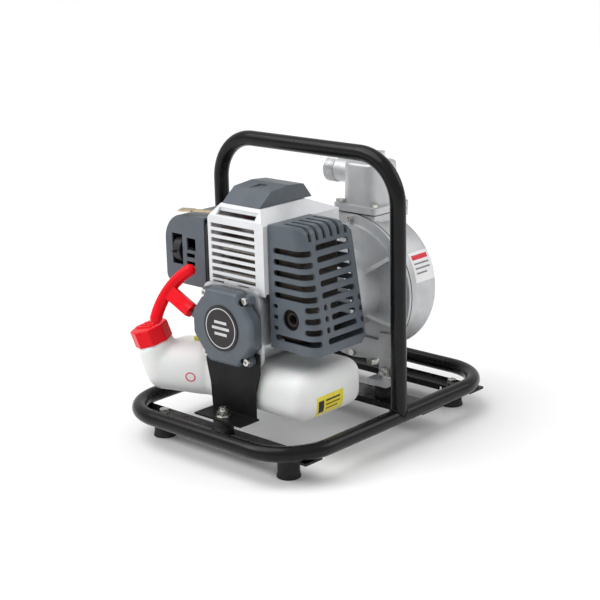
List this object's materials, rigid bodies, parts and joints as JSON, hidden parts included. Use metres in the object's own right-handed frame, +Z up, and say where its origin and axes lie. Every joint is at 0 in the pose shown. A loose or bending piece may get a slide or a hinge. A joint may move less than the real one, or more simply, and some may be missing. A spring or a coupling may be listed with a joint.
{
  "type": "portable fire pump",
  "caption": "Portable petrol-driven water pump in a tubular carrying frame, with recoil starter, fuel tank, air filter, guarded muffler and threaded suction and discharge nipples.",
  "frame": {"origin": "centre of the base loop on the ground, under the rubber feet", "axes": "+Z up, +Y along the crankshaft from the recoil starter to the pump, +X towards the muffler"},
  "size_m": [0.3084, 0.4, 0.3585],
  "materials": {
    "badge_dark": "gloss",
    "black_plastic": "matte",
    "bracket_black": "satin",
    "brass": "plain",
    "cast_aluminium": "as cast",
    "cover_grey": "fine grain",
    "foam": "open foam",
    "frame_black": "gloss",
    "gasket": "matte",
    "hose": "clear tinted",
    "machined_aluminium": "machined",
    "muffler_steel": "heat-stained",
    "rubber": "matte",
    "shroud_white": "gloss",
    "signal_red": "gloss",
    "steel": "machined",
    "tan_zinc": "yellow zinc",
    "tank_white": "translucent",
    "zinc": "zinc plated"
  },
  "bodies": {
    "machine": {"adapter_housing": "cast_aluminium", "ball_bearings": "steel", "base_loop": "frame_black", "carburettor": "machined_aluminium", "carry_handle": "frame_black", "crankcase_front": "cast_aluminium", "crankcase_rear": "cast_aluminium", "cross_strips": "frame_black", "cylinder": "cast_aluminium", "cylinder_shroud": "shroud_white", "discharge_elbow": "cast_aluminium", "engine_bracket": "bracket_black", "fan_housing": "cover_grey", "filter_base": "black_plastic", "filter_cover": "cover_grey", "filter_element": "foam", "flat_gaskets": "gasket", "frame_fasteners": "zinc", "fuel_line": "hose", "fuel_tank": "tank_white", "ignition_coil": "black_plastic", "ignition_lead": "black_plastic", "intake_insulator": "black_plastic", "muffler": "muffler_steel", "muffler_guard": "cover_grey", "pump_bolts": "zinc", "pump_casing": "cast_aluminium", "rubber_feet": "rubber", "rubber_mounts": "rubber", "shaft_seal": "gasket", "spark_plug": "steel", "starter_badge": "badge_dark", "starter_housing": "cover_grey", "starter_screws": "zinc", "suction_flange": "cast_aluminium", "top_cap": "cover_grey", "volute": "black_plastic"},
    "crank": {"crankshaft": "steel", "flywheel_fan": "machined_aluminium", "starter_cup": "steel"},
    "shoe_right": {"clutch_shoe_right": "steel"},
    "shoe_left": {"clutch_shoe_left": "steel"},
    "pump_rotor": {"clutch_drum": "steel", "impeller": "cast_aluminium"},
    "piston_group": {"piston": "machined_aluminium", "piston_rings": "steel", "connecting_rod": "steel"},
    "pulley": {"starter_pulley": "black_plastic"},
    "pull_handle": {"starter_handle": "signal_red"},
    "choke": {"choke_lever": "black_plastic"},
    "throttle": {"throttle_lever": "tan_zinc"},
    "primer": {"primer_bulb": "black_plastic"},
    "switch": {"stop_switch": "signal_red"},
    "cap_lift": {"fuel_cap_seal": "gasket"},
    "cap": {"fuel_cap": "signal_red"},
    "filler_lift": {"filler_seal": "gasket"},
    "filler": {"filler_plug": "brass"},
    "drain_lift": {"drain_seal": "gasket"},
    "drain": {"drain_plug": "brass"},
    "flap": {"check_valve_flap": "rubber"}
  },
  "joints": [
    {"name": "crank_spin", "type": "hinge", "parent": "machine", "child": "crank", "pos_m": [0, 0, 0.156], "axis": [0, 1, 0], "continuous": true},
    {"name": "right_shoe_throw", "type": "slide", "parent": "crank", "child": "shoe_right", "axis": [1, 0, 0], "range_m": [0, 0.0009], "stiffness_N_per_m": 3000},
    {"name": "left_shoe_throw", "type": "slide", "parent": "crank", "child": "shoe_left", "axis": [-1, 0, 0], "range_m": [0, 0.0009], "stiffness_N_per_m": 3000},
    {"name": "pump_spin", "type": "hinge", "parent": "machine", "child": "pump_rotor", "pos_m": [0, 0, 0.156], "axis": [0, 1, 0], "continuous": true},
    {"name": "piston_stroke", "type": "slide", "parent": "machine", "child": "piston_group", "axis": [0, 0, 1], "range_m": [0, 0.034]},
    {"name": "starter_pull", "type": "slide", "parent": "machine", "child": "pull_handle", "axis": [-0.9063, 0, 0.4226], "range_m": [0, 0.5]},
    {"name": "pulley_turn", "type": "hinge", "parent": "machine", "child": "pulley", "pos_m": [0, 0, 0.156], "axis": [0, 1, 0], "range_deg": [0, 1791]},
    {"name": "choke_turn", "type": "hinge", "parent": "machine", "child": "choke", "pos_m": [-0.12, -0.088, 0.222], "axis": [1, 0, 0], "range_deg": [0, 38]},
    {"name": "throttle_turn", "type": "hinge", "parent": "machine", "child": "throttle", "pos_m": [-0.057, -0.081, 0.226], "axis": [0, 0, 1], "range_deg": [0, 50], "stiffness_Nm_per_rad": 0.05, "springref_deg": -22.92},
    {"name": "primer_press", "type": "slide", "parent": "machine", "child": "primer", "axis": [0, 0, 1], "range_m": [0, 0.0035], "stiffness_N_per_m": 800},
    {"name": "switch_rock", "type": "hinge", "parent": "machine", "child": "switch", "pos_m": [-0.043, -0.02, 0.25], "axis": [0, 1, 0], "range_deg": [-12, 12]},
    {"name": "fuel_cap_rise", "type": "slide", "parent": "machine", "child": "cap_lift", "axis": [-0.226, -0.2107, 0.9511], "range_m": [0, 0.012]},
    {"name": "fuel_cap_turn", "type": "hinge", "parent": "cap_lift", "child": "cap", "pos_m": [-0.13, -0.1427, 0.1235], "axis": [-0.226, -0.2107, 0.9511], "range_deg": [0, 1080.5]},
    {"name": "filler_plug_rise", "type": "slide", "parent": "machine", "child": "filler_lift", "axis": [0, 0, 1], "range_m": [0, 0.012]},
    {"name": "filler_plug_turn", "type": "hinge", "parent": "filler_lift", "child": "filler", "pos_m": [0.008, 0.13, 0.312], "axis": [0, 0, 1], "range_deg": [0, 2880.5]},
    {"name": "drain_plug_rise", "type": "slide", "parent": "machine", "child": "drain_lift", "axis": [0, 0, -1], "range_m": [0, 0.0105]},
    {"name": "drain_plug_turn", "type": "hinge", "parent": "drain_lift", "child": "drain", "pos_m": [0, 0.124, 0.0525], "axis": [0, 0, -1], "range_deg": [0, 2520.5]},
    {"name": "check_valve_swing", "type": "hinge", "parent": "machine", "child": "flap", "pos_m": [0, 0.157, 0.202], "axis": [1, 0, 0], "range_deg": [-50, 0]}
  ],
  "couplings": [
    {"joint": "left_shoe_throw", "follows": "right_shoe_throw", "ratio": 1},
    {"joint": "pulley_turn", "follows": "starter_pull", "rad_per_m": 62.5},
    {"joint": "fuel_cap_turn", "follows": "fuel_cap_rise", "rad_per_m": 1570.8},
    {"joint": "filler_plug_turn", "follows": "filler_plug_rise", "rad_per_m": 4188.8},
    {"joint": "drain_plug_turn", "follows": "drain_plug_rise", "rad_per_m": 4188.8}
  ]
}
